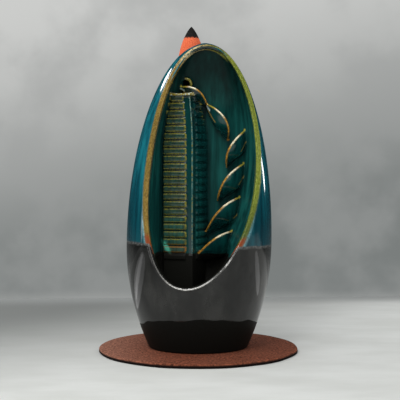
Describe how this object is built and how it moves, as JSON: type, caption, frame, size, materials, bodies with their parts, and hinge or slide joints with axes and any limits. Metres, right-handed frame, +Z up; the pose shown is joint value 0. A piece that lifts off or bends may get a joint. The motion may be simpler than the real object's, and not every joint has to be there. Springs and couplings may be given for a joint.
{
  "type": "backflow incense burner",
  "caption": "Egg-shaped glazed burner: smoke from a cone on top sinks into an oval niche, past a slatted column, down leaf-shaped cups into a pool.",
  "frame": {"origin": "middle of the underside of the mat, on the surface that it lies on", "axes": "+Z up along the burner's height, -Y towards the mouth of the niche, +X to the right as seen from the front"},
  "size_m": [0.122, 0.122, 0.1997],
  "materials": {
    "glazed_ceramic": "gloss teal glaze that breaks to gold on the edges, over a black dipped base",
    "pressed_incense": "matte pressed powder with a charred tip",
    "brown_felt": "matte felt"
  },
  "bodies": {
    "root": {"ceramic_body": "glazed_ceramic", "incense_cone": "pressed_incense", "felt_mat": "brown_felt"}
  },
  "joints": []
}
